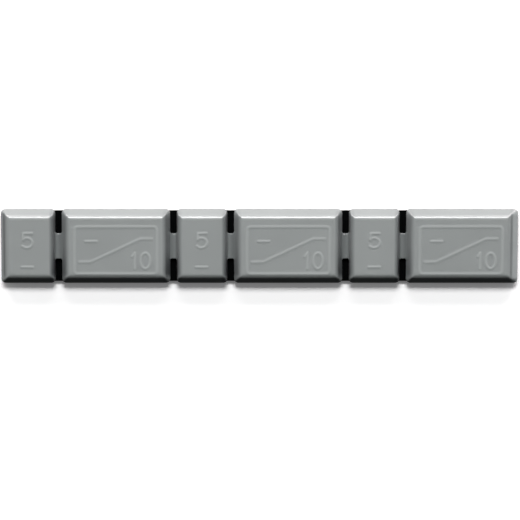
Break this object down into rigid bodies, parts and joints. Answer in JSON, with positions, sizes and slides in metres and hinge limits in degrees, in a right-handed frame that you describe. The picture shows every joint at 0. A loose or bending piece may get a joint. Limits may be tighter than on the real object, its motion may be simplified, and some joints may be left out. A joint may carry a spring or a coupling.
{
  "type": "wheel balance weight",
  "caption": "Stick-on wheel balance weight strip: coated zinc segments, short and long by turns, joined by thin necks, on black foam tape with a release liner.",
  "frame": {"origin": "middle of the strip's back, on the surface that it lies on", "axes": "+X along the strip from its short end segment to its long end segment, +Y across it, +Z out of the face"},
  "size_m": [0.1326, 0.019, 0.0045],
  "materials": {
    "coated_zinc": "semi-gloss silver-grey coating over a zinc die casting",
    "black_foam": "matt black closed-cell foam tape",
    "liner_film": "white release film"
  },
  "bodies": {
    "root": {"zinc_strip": "coated_zinc", "foam_tape": "black_foam", "release_liner": "liner_film"}
  },
  "joints": []
}
